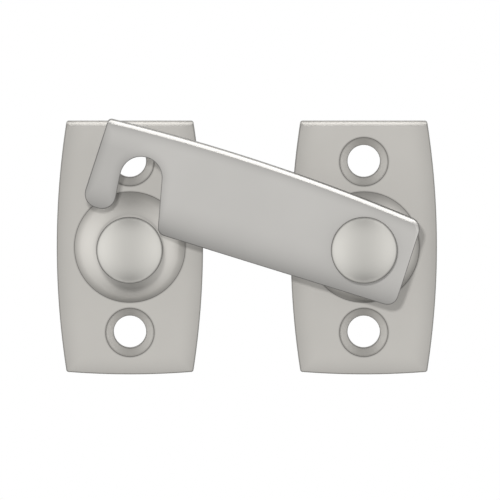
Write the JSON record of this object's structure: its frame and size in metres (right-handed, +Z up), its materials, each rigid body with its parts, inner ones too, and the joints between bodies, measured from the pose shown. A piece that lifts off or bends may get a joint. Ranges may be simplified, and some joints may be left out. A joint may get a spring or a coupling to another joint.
{
  "type": "shutter latch",
  "caption": "Surface-mounted shutter latch: a hooked bar swings on a riveted pivot plate and drops over the headed stud of a matching keeper plate.",
  "frame": {"origin": "on the pivot's axis, in the mounting surface behind the pivot plate, midway between that plate's screw holes", "axes": "+Y into the mounting surface, +Z up, +X to the right, so the keeper is on the -X side"},
  "size_m": [0.0447, 0.0108, 0.0303],
  "materials": {
    "plated_plate": "satin nickel plate over cast brass",
    "plated_bar": "satin nickel plate over cast brass",
    "plated_stud": "satin nickel plate over turned brass",
    "washer": "natural nylon"
  },
  "bodies": {
    "plates": {"keeper_plate": "plated_plate", "keeper_stud": "plated_stud", "pivot_plate": "plated_plate", "pivot_stud": "plated_stud", "friction_washer": "washer"},
    "bar": {"latch_bar": "plated_bar"}
  },
  "joints": [
    {"name": "bar_swing", "type": "hinge", "parent": "plates", "child": "bar", "pos_m": [0, 0, 0], "axis": [0, 1, 0], "range_deg": [-18.3, 324]}
  ]
}
